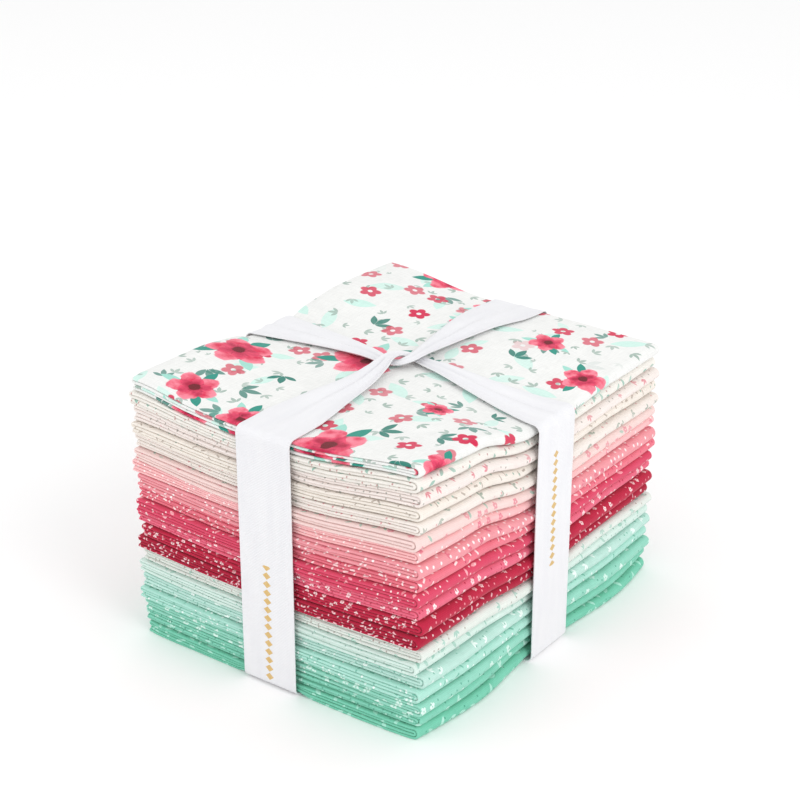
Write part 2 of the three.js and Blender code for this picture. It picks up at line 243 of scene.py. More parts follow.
def eased(stops, values, place):
    """Values at places along a line, eased from stop to stop. A value may itself be an array like place."""
    values = np.array([np.broadcast_to(value, place.shape) for value in values])
    stops = np.array(stops)
    index = np.clip(np.searchsorted(stops, place) - 1, 0, len(stops) - 2)
    share = smooth_share((place - stops[index]) / (stops[index + 1] - stops[index]))
    low = np.take_along_axis(values, index[None], 0)[0]
    high = np.take_along_axis(values, index[None] + 1, 0)[0]
    return low + share * (high - low)


def stack_height(x, y):
    """Height of the tied stack's upper face."""
    across = [-HALF_X, -PRESSED_HALF, PRESSED_HALF, HALF_X]
    sections = []
    for row in TOP_SECTIONS:
        heights = (row["open"], row["ribbon"], row["ribbon"], row["fold"])
        sections.append(eased(across, heights, x))
    return eased([row["y"] for row in TOP_SECTIONS], sections, y)


def crease_height(x, y):
    """How far the creases and swells raise the top."""
    total = np.zeros_like(x)
    for crease in CREASES:
        start = np.array(crease["start"], float)
        along = np.array(crease["end"], float) - start
        share = ((x - start[0]) * along[0] + (y - start[1]) * along[1]) / (along @ along)
        clamped = np.clip(share, 0.0, 1.0)
        gap = np.hypot(x - start[0] - clamped * along[0], y - start[1] - clamped * along[1])
        total += crease["height"] * np.exp(-(gap / crease["half"]) ** 2)
    beside_ribbon = smooth_share((np.minimum(np.abs(x), np.abs(y)) - PRESSED_HALF) / CREASE_FADE)
    return total * beside_ribbon


def groove_share(x, y):
    """Share of the groove's depth: all under the ribbon, none past the ramp beside it."""
    nearest = np.minimum(np.abs(x), np.abs(y))
    return smooth_share((PRESSED_HALF + GROOVE_RAMP - nearest) / GROOVE_RAMP)


def interface_wave(x, y, level):
    """How far the face between two quarters strays from its even height. Base and top don't stray."""
    if level in (0, QUARTER_COUNT):
        return np.zeros_like(x)
    random = np.random.default_rng(FACE_SEED + level)
    phase = random.uniform(0, 2 * math.pi, 4)
    broad = np.sin(x / FACE_BROAD["x"] + phase[0]) * np.sin(y / FACE_BROAD["y"] + phase[1])
    ripple = np.sin(y / FACE_RIPPLE["y"] + phase[2]) + np.sin(x / FACE_RIPPLE["x"] + phase[3])
    return FACE_BROAD["height"] * broad + FACE_RIPPLE["height"] * ripple


def tied_height(x, y, z, index):
    """Moves a height in the even stack, in the quarter of that index, to its height in the tied bundle."""
    low = interface_wave(x, y, index)
    high = interface_wave(x, y, index + 1)
    share = np.clip((z - index * QUARTER_PITCH) / QUARTER_PITCH, 0.0, 1.0)
    even = z + low + share * (high - low)
    upper = smooth_share((z / STACK_NOMINAL - CREASE_FROM) / (1 - CREASE_FROM))
    pressed = even * stack_height(x, y) / STACK_NOMINAL + upper * crease_height(x, y)
    groove = GROOVE_DEPTH * groove_share(x, y) * np.clip(1 - z / QUARTER_THICK, 0.0, 1.0)
    return pressed + groove


def finer(stops, times):
    """Stops with each stretch between two of them cut in a number of parts."""
    places = np.arange((len(stops) - 1) * times + 1) / times
    return np.interp(places, np.arange(len(stops)), stops)


def back_and_forth(half, levels, body, stops, turn_steps, bulge):
    """The side view of something folded in half twice: lengths, places along, heights, normals and parts.

    It runs from the free end of its lowest level to the closed side, round to the highest, back to the open
    side, round to the third and, inside the first turn, to the second. The body is half its own thickness.
    Every run has its points at the same stops, so that the layers stay apart where they bend.
    """
    outer = (levels[3] - levels[0]) / 2
    inner = (levels[2] - levels[1]) / 2
    middle = (levels[0] + levels[3]) / 2
    closed = half - bulge * (outer + body)
    opened = -half + inner + body
    pieces = []

    def run(first, last, level, up):
        along = np.concatenate([[first], stops if last > first else stops[::-1]])
        zero = np.zeros_like(along)
        pieces.append(np.stack([along, zero + level, zero, zero + up]))

    def turn(centre, height, radius, degrees, side, stretch, steps):
        angle = np.radians(np.linspace(*degrees, steps + 1)[:-1])
        reach, rise = np.cos(angle), np.sin(angle)
        pieces.append(np.stack([centre + stretch * radius * reach, height + radius * rise,
                                side * stretch * reach, side * rise]))

    run(-half + FREE_END["bottom"], closed, levels[0], 1)
    turn(closed, middle, outer, (-90, 90), -1, bulge, turn_steps["outer"])
    run(closed, opened, levels[3], -1)
    turn(opened, (levels[2] + levels[3]) / 2, inner, (90, 270), -1, 1, turn_steps["open"])
    run(opened, closed, levels[2], 1)
    turn(closed, middle, inner, (90, -90), 1, bulge, turn_steps["inner"])
    run(closed, -half, levels[1], -1)
    pieces.append(np.array([[-half + FREE_END["inner"]], [levels[1]], [0.0], [-1.0]]))
    along, height, normal_along, normal_up = np.concatenate(pieces, axis=1)
    length = np.concatenate([[0.0], np.cumsum(np.hypot(np.diff(along), np.diff(height)))])
    part = np.repeat(np.arange(len(pieces)), [piece.shape[1] for piece in pieces])
    return length, along, height, normal_along, normal_up, part


def image_place(fold, shares):
    """Place on the cloth's baked image, from edge to edge, with each part of a fold's share of room."""
    length, part = fold[0], fold[-1]
    room = np.diff(length) * np.array(shares)[part[:-1]]
    place = np.concatenate([[0.0], np.cumsum(room)]) / room.sum()
    return IMAGE_EDGE + (1 - 2 * IMAGE_EDGE) * place


def edge_wave(place, random, size):
    """A gentle wave along an edge, different for every edge."""
    phases = random.uniform(0, 2 * math.pi, len(EDGE_WAVES))
    pairs = zip(EDGE_WAVES, phases)
    return size * sum(wave["share"] * np.sin(place / wave["length"] + phase) for wave, phase in pairs)


def towards_edge(place, half):
    """Share of an edge's wave that a place feels: none in the middle, all at the edge on its own side."""
    return smooth_share((place / half - EDGE_WAVE_FROM) / (1 - EDGE_WAVE_FROM))


def folded_quarter(index, box, fineness):
    """Grid of one folded quarter's points, with their places on the cut cloth and on its baked image."""
    random = np.random.default_rng(QUARTER_SEED + index)
    layer_levels = [LAYER_THICK / 2 + layer * LAYER_PITCH for layer in range(FOLDED_IN)]
    ply_levels = [(ply - (FOLDED_IN - 1) / 2) * PLY_PITCH for ply in range(FOLDED_IN)]
    bulge = random.uniform(*BULGE_RANGE)
    layers = back_and_forth(HALF_X, layer_levels, LAYER_THICK / 2, finer(STOPS_X, fineness),
                            LAYER_TURN_STEPS, bulge)
    plies = back_and_forth(HALF_Y, ply_levels, PLY_THICK / 2, finer(STOPS_Y, fineness),
                           PLY_TURN_STEPS, PLY_BULGE)

    length, along, height, normal_along, normal_up = (row[:, None] for row in layers[:5])
    ply_length, ply_along, ply_level = (row[None, :] for row in plies[:3])
    x = along + normal_along * ply_level
    z = index * QUARTER_PITCH + height + normal_up * ply_level
    y = -ply_along + np.zeros_like(x)
    flat = (length + np.zeros_like(x), ply_length + np.zeros_like(x))

    corner_pull = CORNER_PULL + LOW_CORNER_PULL * max(0.0, 1 - index / LOW_QUARTERS)
    x, y = out_of_line(x, y, flat[0], box, corner_pull, random)
    x = x + belly(x, y, index)
    z = tied_height(x, y, z, index)
    layer_shares = IMAGE_SHARES[SHOWN_LAYERS.get(index, "edges")]
    image = np.meshgrid(image_place(layers, layer_shares), image_place(plies, IMAGE_SHARES["plies"]),
                        indexing="ij")
    return np.stack([x, y, z], axis=-1), flat, image


def out_of_line(x, y, strip_length, box, corner_pull, random):
    """Shifts, turns and waves one quarter's outline, within the box of its solid."""
    low, high = (np.array(corner) / MM for corner in box)
    shift = (low + high) / 2
    turn = math.radians(random.uniform(-TURN_LIMIT_DEG, TURN_LIMIT_DEG))
    ends = towards_edge(x, HALF_X) * edge_wave(y, random, EDGE_WAVE_SIZE["fold"])
    ends -= towards_edge(-x, HALF_X) * edge_wave(y, random, EDGE_WAVE_SIZE["open"])
    sides = towards_edge(y, HALF_Y) * edge_wave(strip_length, random, EDGE_WAVE_SIZE["side"])
    sides -= towards_edge(-y, HALF_Y) * edge_wave(strip_length, random, EDGE_WAVE_SIZE["side"])
    corner = np.clip(np.abs(x) / HALF_X, 0, 1) * np.clip(np.abs(y) / HALF_Y, 0, 1)
    pull = corner_pull * corner ** CORNER_SHARPNESS
    new_x = x + shift[0] - turn * y + ends - np.sign(x) * pull
    new_y = y + shift[1] + turn * x + sides - np.sign(y) * pull
    return new_x, new_y


def belly(x, y, index):
    """How far the fold side of a low quarter swells out between the ribbon and its corners."""
    size = BELLY_OUT * max(0.0, 1 - index / BELLY_QUARTERS)
    along = np.clip((np.abs(y) - PRESSED_HALF) / (HALF_Y - PRESSED_HALF), 0.0, 1.0)
    return size * np.sin(math.pi * along) ** 2 * towards_edge(x, HALF_X)


def grid_normals(points):
    normal = np.cross(np.gradient(points, axis=0), np.gradient(points, axis=1))
    return normal / np.maximum(np.linalg.norm(normal, axis=-1, keepdims=True), SMALLEST_LENGTH)


def grid_faces(points):
    """Faces of the two skins of a thick grid, and of the rim between them.

    Every face starts at the corner that gives the plies above one another the same diagonal, so that they
    stay apart.
    """
    rows, columns = points.shape[:2]
    index = np.arange(rows * columns).reshape(rows, columns)
    quads = np.stack([index[:-1, :-1], index[1:, :-1], index[1:, 1:], index[:-1, 1:]], axis=-1)
    along_x = np.diff(points[..., 0], axis=0)[:, :-1]
    along_y = np.diff(points[..., 1], axis=1)[:-1]
    other_way = (along_x * along_y < 0)[..., None]
    quads = np.where(other_way, np.roll(quads, 1, axis=-1), quads).reshape(-1, 4)
    below = rows * columns
    ring = np.concatenate([index[0, :], index[1:, -1], index[-1, -2::-1], index[-2:0:-1, 0]])
    following = np.roll(ring, -1)
    rim = np.stack([ring, following, following + below, ring + below], axis=-1)
    return np.concatenate([quads, quads[:, [0, 3, 2, 1]] + below, rim])


def add_uv(mesh, name, grids, faces):
    """A UV map from two grids of numbers, alike on the two skins of a sheet."""
    uv = np.stack([grid.reshape(-1) for grid in grids], axis=-1)
    uv = np.concatenate([uv, uv])
    layer = mesh.uv_layers.new(name=name)
    layer.data.foreach_set("uv", uv[faces.reshape(-1)].reshape(-1))


def sheet_object(name, points, flat, thick, material, image=None):
    """A thin closed sheet through a grid of points, with the flat place of each point as its UV, in metres.

    A second map gives each point's place on a baked image.
    """
    offset = grid_normals(points) * thick / 2
    vertices = np.concatenate([(points + offset).reshape(-1, 3), (points - offset).reshape(-1, 3)]) * MM
    faces = grid_faces(points)
    mesh = bpy.data.meshes.new(name)
    mesh.from_pydata(vertices.tolist(), [], faces.tolist())
    add_uv(mesh, "flat_cloth", [place * MM for place in flat], faces)
    if image is not None:
        add_uv(mesh, "OFBake", image, faces)
    mesh.polygons.foreach_set("use_smooth", [True] * len(mesh.polygons))
    mesh.set_sharp_from_angle(angle=math.radians(SHARP_ANGLE_DEG))
    mesh.materials.append(material)
    piece = bpy.data.objects.new(name, mesh)
    bpy.context.scene.collection.objects.link(piece)
    return piece


# Materials

# A mix node has sockets of the same name for each kind of value, so those for colours are taken by number.
MIX_SHARE = 0
MIX_UNDER = 6
MIX_OVER = 7
MIX_RESULT = 2

# Motifs: the softness of their edges, how irregularly they are scattered, the shift that a seed gives them,
# and the strength of their ink.
EDGE_SOFT = 0.16
SHOWN_SOFT = 0.02
SCATTER_JITTER = 0.65
SCATTER_SHIFT = (37.3, 19.7)
LAYER_SEED_STEP = 0.13
INK = {"least": 0.72, "range": 0.28}
NOISE_MIDDLE = 0.5

# Forms of the motifs, as shares of their sizes, and how far each kind reaches from its middle.
DASH_HALF = 0.16
LEAF_HALF = 0.19
SPRIG = {"leaf": 0.52, "middle": 0.55, "side": 0.5, "side_leaf": 0.85, "spread": 0.85}
PETAL_COUNT = 5
PETAL_DEPTH = 0.36
FLOWER_SOFT = 0.12
FLOWER_EYE = 0.11
EXTENTS = {"bloom": 0.72, "sprig": 0.56, "spray": 0.56}
PLAIN_EXTENT = 0.5

# The large flowers: colours, and the brush marks, petal lines and ragged heart that make them look painted.
BLOOM_HUES = {"line": "#a5123a", "heart": "#6d081b", "leaf": "#2b9181", "pale_leaf": "#9fd9cb"}
BLOOM_BRUSH = {"shift": 50.0, "pitch": 5.0, "detail": 3.0, "warp": 2.6, "wash": 1.5}
BLOOM_LINE = {"half": 0.2, "soft": 0.2, "reach": 0.35, "fade": 0.5, "share": 0.7}
BLOOM_RIM_SOFT = 0.05
BLOOM_HEART = {"size": 0.1, "ragged": 3.0, "soft": 0.5}
BLOOM_RINGS = [
    {"size": 1.0, "turn": 0.0, "rim": "#f4879a"},
    {"size": 0.62, "turn": 0.63, "near": "#b01440", "rim": "#e8486c"},
]
BLOOM_LEAVES = [
    {"turn": 0.5, "hue": "leaf", "length": 0.5},
    {"turn": 1.1, "hue": "pale_leaf", "length": 0.46},
    {"turn": 2.9, "hue": "leaf", "length": 0.48},
    {"turn": 4.6, "hue": "pale_leaf", "length": 0.5},
]
LEAF_FROM_HEART = 0.46

# Plain weave: its pitch, its uneven threads, and what each gives to height and to painted shade: the colour
# is darker in the gaps between threads and varies with the threads' uneven thickness.
WEAVE = {"pitch": 0.42, "slub_pitch": 0.55, "slub_squeeze": 0.1, "over": 0.35, "gaps": 0.5, "slub": 0.6,
         "darkest": 0.95, "shade": 0.12}
COTTON_MOTTLE = {"pitch": 9.0, "detail": 4.0}
COTTON_BUMP = {"strength": 0.5, "depth": 0.1}
COTTON_SURFACE = {"Roughness": 0.88, "Specular IOR Level": 0.25, "Sheen Weight": 0.12,
                  "Sheen Roughness": 0.5}

# The ribbon's white, its ribs, selvedges and grain, and the gold that is printed on it.
RIBBON_HUES = {"white": "#ececee", "shade": "#e3e3e7", "gold": "#d8ae4f"}
RIBBON_SHADE = {"pitch": 4.0, "squeeze": 0.2}
RIBBON_ROUGHNESS = 0.55
RIBBON_SHEEN = 0.1
RIB = {"pitch": 0.55, "height": 0.5}
SELVEDGE = {"width": 0.8, "soft": 0.2, "height": 0.8}
GRAIN = {"pitch": 0.5, "height": 0.3}
RIBBON_BUMP = {"strength": 0.5, "depth": 0.12}
GOLD_RUN = {"start": 72.0, "length": 41.0, "period": 231.0}
LOZENGE = {"pitch": 3.0, "width": 3.2, "slope": 2.3}
GOLD_WEAR = {"pitch": 0.8, "least": 0.75, "range": 0.25}
GOLD_METAL = 0.45
GOLD_GLOSS = 0.2


class Number:
    """A number that varies over a surface: a node's output, with plain arithmetic."""

    def __init__(self, graph, socket):
        self.graph = graph
        self.socket = socket

    def __add__(self, other):
        return self.graph.math("ADD", self, other)

    def __radd__(self, other):
        return self.graph.math("ADD", other, self)

    def __sub__(self, other):
        return self.graph.math("SUBTRACT", self, other)

    def __rsub__(self, other):
        return self.graph.math("SUBTRACT", other, self)

    def __mul__(self, other):
        return self.graph.math("MULTIPLY", self, other)

    def __rmul__(self, other):
        return self.graph.math("MULTIPLY", other, self)

    def __truediv__(self, other):
        return self.graph.math("DIVIDE", self, other)

    def __rtruediv__(self, other):
        return self.graph.math("DIVIDE", other, self)

    def __abs__(self):
        return self.graph.math("ABSOLUTE", self)


class Graph:
    """A material's nodes, made from short expressions."""

    def __init__(self, name):
        self.material = bpy.data.materials.new(name)
        self.material.use_nodes = True
        self.nodes = self.material.node_tree.nodes
        self.links = self.material.node_tree.links
        self.nodes.clear()
        self.shader = self.nodes.new("ShaderNodeBsdfPrincipled")
        output = self.nodes.new("ShaderNodeOutputMaterial")
        self.links.new(self.shader.outputs["BSDF"], output.inputs["Surface"])

    def surface(self, values):
        """Sets the shader's inputs by name."""
        for name, value in values.items():
            self.feed(self.shader.inputs[name], value)

    def feed(self, socket, value):
        """Links a varying value to a socket, or sets the socket to a plain one."""
        if isinstance(value, Number):
            self.links.new(value.socket, socket)
        elif isinstance(value, bpy.types.NodeSocket):
            self.links.new(value, socket)
        else:
            socket.default_value = value

    def node(self, kind, settings=None, inputs=None):
        made = self.nodes.new(kind)
        for name, value in (settings or {}).items():
            setattr(made, name, value)
        for name, value in (inputs or {}).items():
            self.feed(made.inputs[name], value)
        return made

    def math(self, operation, *values, clamp=False):
        made = self.node("ShaderNodeMath", {"operation": operation, "use_clamp": clamp})
        for socket, value in zip(made.inputs, values):
            self.feed(socket, value)
        return Number(self, made.outputs[0])

    def mix(self, share, under, over):
        """One colour laid over another by a share."""
        inputs = {MIX_SHARE: share, MIX_UNDER: under, MIX_OVER: over}
        return self.node("ShaderNodeMix", {"data_type": "RGBA"}, inputs).outputs[MIX_RESULT]

    def shaded(self, paint, shade):
        """A colour made darker or lighter by a number."""
        made = self.node("ShaderNodeVectorMath", {"operation": "SCALE"}, {"Vector": paint, "Scale": shade})
        return made.outputs["Vector"]

    def bumped(self, height, strength, depth):
        """A normal that follows a height, with its depth in millimetres."""
        inputs = {"Strength": strength, "Distance": depth * MM, "Height": height}
        return self.node("ShaderNodeBump", inputs=inputs).outputs["Normal"]

    def vector(self, x, y):
        return self.node("ShaderNodeCombineXYZ", inputs={"X": x, "Y": y}).outputs[0]

    def split(self, socket):
        made = self.node("ShaderNodeSeparateXYZ", inputs={"Vector": socket})
        return [Number(self, output) for output in made.outputs]

    def cloth_place(self):
        """Place on the flat cloth, in millimetres."""
        uv = self.node("ShaderNodeUVMap", {"uv_map": "flat_cloth"})
        x, y, _ = self.split(uv.outputs["UV"])
        return x * (1 / MM), y * (1 / MM)

    def noise(self, x, y, pitch, detail=2.0):
        made = self.node("ShaderNodeTexNoise", {"noise_dimensions": "2D"},
                         {"Vector": self.vector(x, y), "Scale": 1 / pitch, "Detail": detail})
        return Number(self, made.outputs["Fac"])

    def inside(self, edge, value, soft):
        """1 where the value is under the edge, 0 where it is over it."""
        return self.math("MULTIPLY_ADD", edge - value, 1 / soft, 0.5, clamp=True)

    def scatter(self, x, y, pitch, extent, seed):
        """Place relative to the nearest of many scattered and turned motifs, and two random numbers for it.

        A motif reaches its extent at most, and one that has no room for that is smaller.
        """
        x = x + SCATTER_SHIFT[0] * seed
        y = y + SCATTER_SHIFT[1] * seed
        inputs = {"Vector": self.vector(x, y), "Scale": 1 / pitch, "Randomness": SCATTER_JITTER}
        kind = "ShaderNodeTexVoronoi"
        cells = self.node(kind, {"voronoi_dimensions": "2D", "feature": "F1"}, inputs)
        spheres = self.node(kind, {"voronoi_dimensions": "2D", "feature": "N_SPHERE_RADIUS"}, inputs)
        room = Number(self, spheres.outputs["Radius"]) * pitch
        grow = self.math("MAXIMUM", extent / room, 1.0)
        centre_x, centre_y, _ = self.split(cells.outputs["Position"])
        turn, chance, tone = self.split(cells.outputs["Color"])
        x, y = self.turned(x - centre_x, y - centre_y, turn * (2 * math.pi))
        return x * grow, y * grow, chance, tone

    def turned(self, x, y, angle):
        cosine = self.math("COSINE", angle)
        sine = self.math("SINE", angle)
        return x * cosine + y * sine, y * cosine - x * sine


def dot_shape(graph, x, y, size):
    return graph.inside(size / 2, graph.math("SQRT", x * x + y * y), EDGE_SOFT)


def dash_shape(graph, x, y, size):
    return graph.inside(size / 2, abs(x), EDGE_SOFT) * graph.inside(size * DASH_HALF, abs(y), EDGE_SOFT)


def leaf_shape(graph, x, y, size):
    share = x * (2 / size)
    return graph.inside(size * LEAF_HALF * (1 - share * share), abs(y), EDGE_SOFT)


def sprig_shape(graph, x, y, size):
    """Three leaves from one point."""
    leaf = size * SPRIG["leaf"]
    total = leaf_shape(graph, x - leaf * SPRIG["middle"], y, leaf)
    for side in (-SPRIG["spread"], SPRIG["spread"]):
        turned_x, turned_y = graph.turned(x, y, side)
        side_leaf = leaf_shape(graph, turned_x - leaf * SPRIG["side"], turned_y, leaf * SPRIG["side_leaf"])
        total = graph.math("MAXIMUM", total, side_leaf)
    return total


def petals(graph, x, y, size):
    """Distance from a flower's middle as a share of its edge, nearness to a petal's line, and distance."""
    radius = graph.math("SQRT", x * x + y * y)
    angle = graph.math("ARCTAN2", y, x)
    lobe = abs(graph.math("COSINE", angle * (PETAL_COUNT / 2)))
    edge = size / 2 * (1 - PETAL_DEPTH + PETAL_DEPTH * lobe)
    return radius / edge, lobe, radius


def flower_shape(graph, x, y, size):
    reach, _, radius = petals(graph, x, y, size)
    eye = graph.inside(size * FLOWER_EYE, radius, EDGE_SOFT)
    return graph.inside(1.0, reach, FLOWER_SOFT) * (1 - eye)


SHAPES = {"dot": dot_shape, "dash": dash_shape, "leaf": leaf_shape, "wash": leaf_shape,
          "sprig": sprig_shape, "spray": sprig_shape, "flower": flower_shape}


def brush_mark(graph, x, y, tone):
    """How far a large flower's paint strays at a place, to either side of none."""
    shifted = x + BLOOM_BRUSH["shift"] * tone
    return graph.noise(shifted, y, BLOOM_BRUSH["pitch"], BLOOM_BRUSH["detail"]) - NOISE_MIDDLE


def petal_line(graph, reach, lobe):
    """The dark lines between petals, which fade towards the heart."""
    between = graph.inside(BLOOM_LINE["half"], lobe, BLOOM_LINE["soft"])
    outer = graph.inside(BLOOM_LINE["reach"], 1 - reach, BLOOM_LINE["fade"])
    return between * outer * BLOOM_LINE["share"]


def lay_bloom(graph, paint, x, y, hue, size, shown, tone):
    """A large open flower: leaves that show from under it, two rings of petals and a dark heart."""
    for leaf in BLOOM_LEAVES:
        leaf_x, leaf_y = graph.turned(x, y, leaf["turn"])
        mask = leaf_shape(graph, leaf_x - size * LEAF_FROM_HEART, leaf_y, size * leaf["length"])
        paint = graph.mix(mask * shown, paint, colour(BLOOM_HUES[leaf["hue"]]))
    brush = brush_mark(graph, x, y, tone)
    drift = brush_mark(graph, y, x, tone)
    x = x + BLOOM_BRUSH["warp"] * brush
    y = y + BLOOM_BRUSH["warp"] * drift
    for ring in BLOOM_RINGS:
        ring_x, ring_y = graph.turned(x, y, ring["turn"])
        reach, lobe, radius = petals(graph, ring_x, ring_y, size * ring["size"])
        wash = graph.math("MULTIPLY_ADD", brush + drift, BLOOM_BRUSH["wash"], reach * reach, clamp=True)
        petal = graph.mix(wash, colour(ring.get("near", hue)), colour(ring["rim"]))
        petal = graph.mix(petal_line(graph, reach, lobe), petal, colour(BLOOM_HUES["line"]))
        paint = graph.mix(shown * graph.inside(1.0, reach, BLOOM_RIM_SOFT), paint, petal)
    ragged = radius + BLOOM_HEART["ragged"] * drift
    heart = graph.inside(size * BLOOM_HEART["size"], ragged, BLOOM_HEART["soft"])
    return graph.mix(shown * heart, paint, colour(BLOOM_HUES["heart"]))


def lay_motifs(graph, paint, x, y, layer, seed):
    """Lays one scattered layer of a print over what is below it."""
    kind, hue, pitch, size, share = layer
    extent = size * EXTENTS.get(kind, PLAIN_EXTENT)
    motif_x, motif_y, chance, tone = graph.scatter(x, y, pitch, extent, seed)
    shown = graph.inside(share, chance, SHOWN_SOFT)
    if kind == "bloom":
        return lay_bloom(graph, paint, motif_x, motif_y, hue, size, shown, tone)
    mask = SHAPES[kind](graph, motif_x, motif_y, size) * shown
    return graph.mix(mask * (INK["least"] + INK["range"] * tone), paint, colour(hue))


def weave(graph, x, y):
    """Height and painted shade of a plain weave: threads over and under each other, of uneven thickness. The
    shade is painted darker in the gaps between threads and lighter on their crowns.
    """
    turns = math.pi / WEAVE["pitch"]
    squeeze = WEAVE["slub_squeeze"]
    slub_x = graph.noise(x * squeeze, y, WEAVE["slub_pitch"])
    slub_y = graph.noise(x, y * squeeze, WEAVE["slub_pitch"])
    slub = slub_x + slub_y - 2 * NOISE_MIDDLE
    wave_x = graph.math("SINE", x * turns)
    wave_y = graph.math("SINE", y * turns)
    gaps = abs(wave_x) * abs(wave_y)
    height = wave_x * wave_y * WEAVE["over"] + gaps * WEAVE["gaps"] + slub * WEAVE["slub"]
    # Painted shade: darker in the gaps between threads, lighter where they cross over. The slubs also vary
    # the tone at random.
    shade = graph.math("MULTIPLY_ADD", gaps, WEAVE["shade"], WEAVE["darkest"] + slub * WEAVE["shade"])
    return height, shade


def cotton(name, print_row, seed):
    """Printed quilting cotton: ground, motifs and plain weave, with painted shade between the threads."""
    graph = Graph(name)
    x, y = graph.cloth_place()
    mottle = graph.noise(x, y, COTTON_MOTTLE["pitch"], COTTON_MOTTLE["detail"])
    paint = graph.mix(mottle, colour(print_row["ground"]), colour(print_row["tone"]))
    for number, layer in enumerate(print_row["layers"]):
        paint = lay_motifs(graph, paint, x, y, layer, seed + LAYER_SEED_STEP * number)
    height, shade = weave(graph, x, y)
    graph.surface(COTTON_SURFACE)
    # The print is multiplied by the weave's painted shade.
    graph.surface({"Base Color": graph.shaded(paint, shade), "Normal": graph.bumped(height, **COTTON_BUMP)})
    return graph.material


def gold_share(graph, along, across, middle):
    """Where gold is printed on the ribbon: chains of lozenges, a little worn."""
    pitch = LOZENGE["pitch"]
    place = graph.math("FLOORED_MODULO", along - GOLD_RUN["start"], GOLD_RUN["period"])
    step = graph.math("FLOORED_MODULO", place, pitch) - pitch / 2
    edge = LOZENGE["width"] / 2 * (1 - abs(step) * (LOZENGE["slope"] / pitch))
    chain = graph.inside(edge, abs(middle), EDGE_SOFT) * graph.inside(GOLD_RUN["length"], place, EDGE_SOFT)
    wear = graph.noise(along, across, GOLD_WEAR["pitch"])
    return chain * (GOLD_WEAR["least"] + GOLD_WEAR["range"] * wear)


def ribbon_height(graph, along, across, middle):
    """Ribs across the ribbon, a raised selvedge on each side, and a fine grain."""
    rib = graph.math("SINE", along * (2 * math.pi / RIB["pitch"]))
    selvedge = graph.inside(abs(middle), RIBBON_WIDTH / 2 - SELVEDGE["width"], SELVEDGE["soft"])
    grain = graph.noise(along, across, GRAIN["pitch"])
    return rib * RIB["height"] + selvedge * SELVEDGE["height"] + grain * GRAIN["height"]


def ribbon_material():
    """White ribbed ribbon with a plain chain of gold lozenges printed on it here and there."""
    graph = Graph("ribbon_white_ribbed")
    along, across = graph.cloth_place()
    middle = across - RIBBON_WIDTH / 2
    gold = gold_share(graph, along, across, middle)
    tone = graph.noise(along * RIBBON_SHADE["squeeze"], across, RIBBON_SHADE["pitch"])
    white = graph.mix(tone, colour(RIBBON_HUES["white"]), colour(RIBBON_HUES["shade"]))
    height = ribbon_height(graph, along, across, middle)
    graph.surface({
        "Base Color": graph.mix(gold, white, colour(RIBBON_HUES["gold"])),
        "Metallic": gold * GOLD_METAL,
        "Roughness": RIBBON_ROUGHNESS - gold * GOLD_GLOSS,
        "Sheen Weight": RIBBON_SHEEN,
        "Normal": graph.bumped(height, **RIBBON_BUMP),
    })
    return graph.material


def plain_material(name, hue, roughness):
    graph = Graph(name)
    graph.surface({"Base Color": colour(hue), "Roughness": roughness})
    return graph.material


# The ribbon

# How it lies: its distance inside the solid's face, its bends, its lift off the cloth, and below the bundle
# the level of each way and the place where its ends meet.
RIBBON_INSET = 0.75
RIBBON_BEND = 2.2
RIBBON_CLEAR = 0.35
BELOW_LEVELS = {"x": 0.2, "y": 0.58}
BELOW_JOIN = 0.5
SIDE_STEPS = {"below": 24, "lower_bend": 8, "wall": 40, "upper_bend": 9}
TOP_STEPS = 12

# How it is gathered: its width at the twist, where it widens, and the height of its pleats by their
# distance from the twist.
WAIST = 4.6
WIDEN_FROM = 4.0
WIDEN_OVER = 52.0
PLEAT_REACH = [5.0, 14.0, 24.0, 48.0, 84.0]
PLEAT_HEIGHT = [0.45, 0.7, 0.6, 0.3, 0.0]
PLEAT_WAVES = 2.5
PLEAT_START = 0.6
PLEAT_UNEVEN = {"share": 0.12, "turns": 5}
RIBBON_COLUMNS = 27

# Plan of the ribbon over the top, from the front edge round the twist to the fold side, with its rise.
FRONT_FLAT = 57.0
FOLD_FLAT = 48.0
TWIST_PLAN = [
    {"x": 0.0, "y": -44.0, "rise": 0.0},
    {"x": -0.4, "y": -26.0, "rise": 0.2},
    {"x": -1.7, "y": -13.0, "rise": 1.1},
    {"x": -3.2, "y": -5.0, "rise": 2.2},
    {"x": -3.0, "y": 0.6, "rise": 1.9},
    {"x": -0.4, "y": 3.6, "rise": 0.9},
    {"x": 4.8, "y": 3.4, "rise": 0.3},
    {"x": 13.0, "y": 1.8, "rise": 0.2},
    {"x": 26.0, "y": 0.4, "rise": 0.1},
    {"x": 40.0, "y": 0.0, "rise": 0.0},
]


def curve_through(points, steps):
    """A smooth curve through points, a row each, with the same number of steps between every two."""
    points = np.array(points, float)
    padded = np.concatenate([2 * points[:1] - points[1:2], points, 2 * points[-1:] - points[-2:-1]])
    share = np.linspace(0.0, 1.0, steps + 1)[:-1, None]
    spans = []
    for before, start, end, after in zip(padded, padded[1:], padded[2:], padded[3:]):
        spans.append(0.5 * (2 * start + (end - before) * share
                            + (2 * before - 5 * start + 4 * end - after) * share ** 2
                            + (3 * start - before - 3 * end + after) * share ** 3))
    return np.concatenate([*spans, points[-1:]])


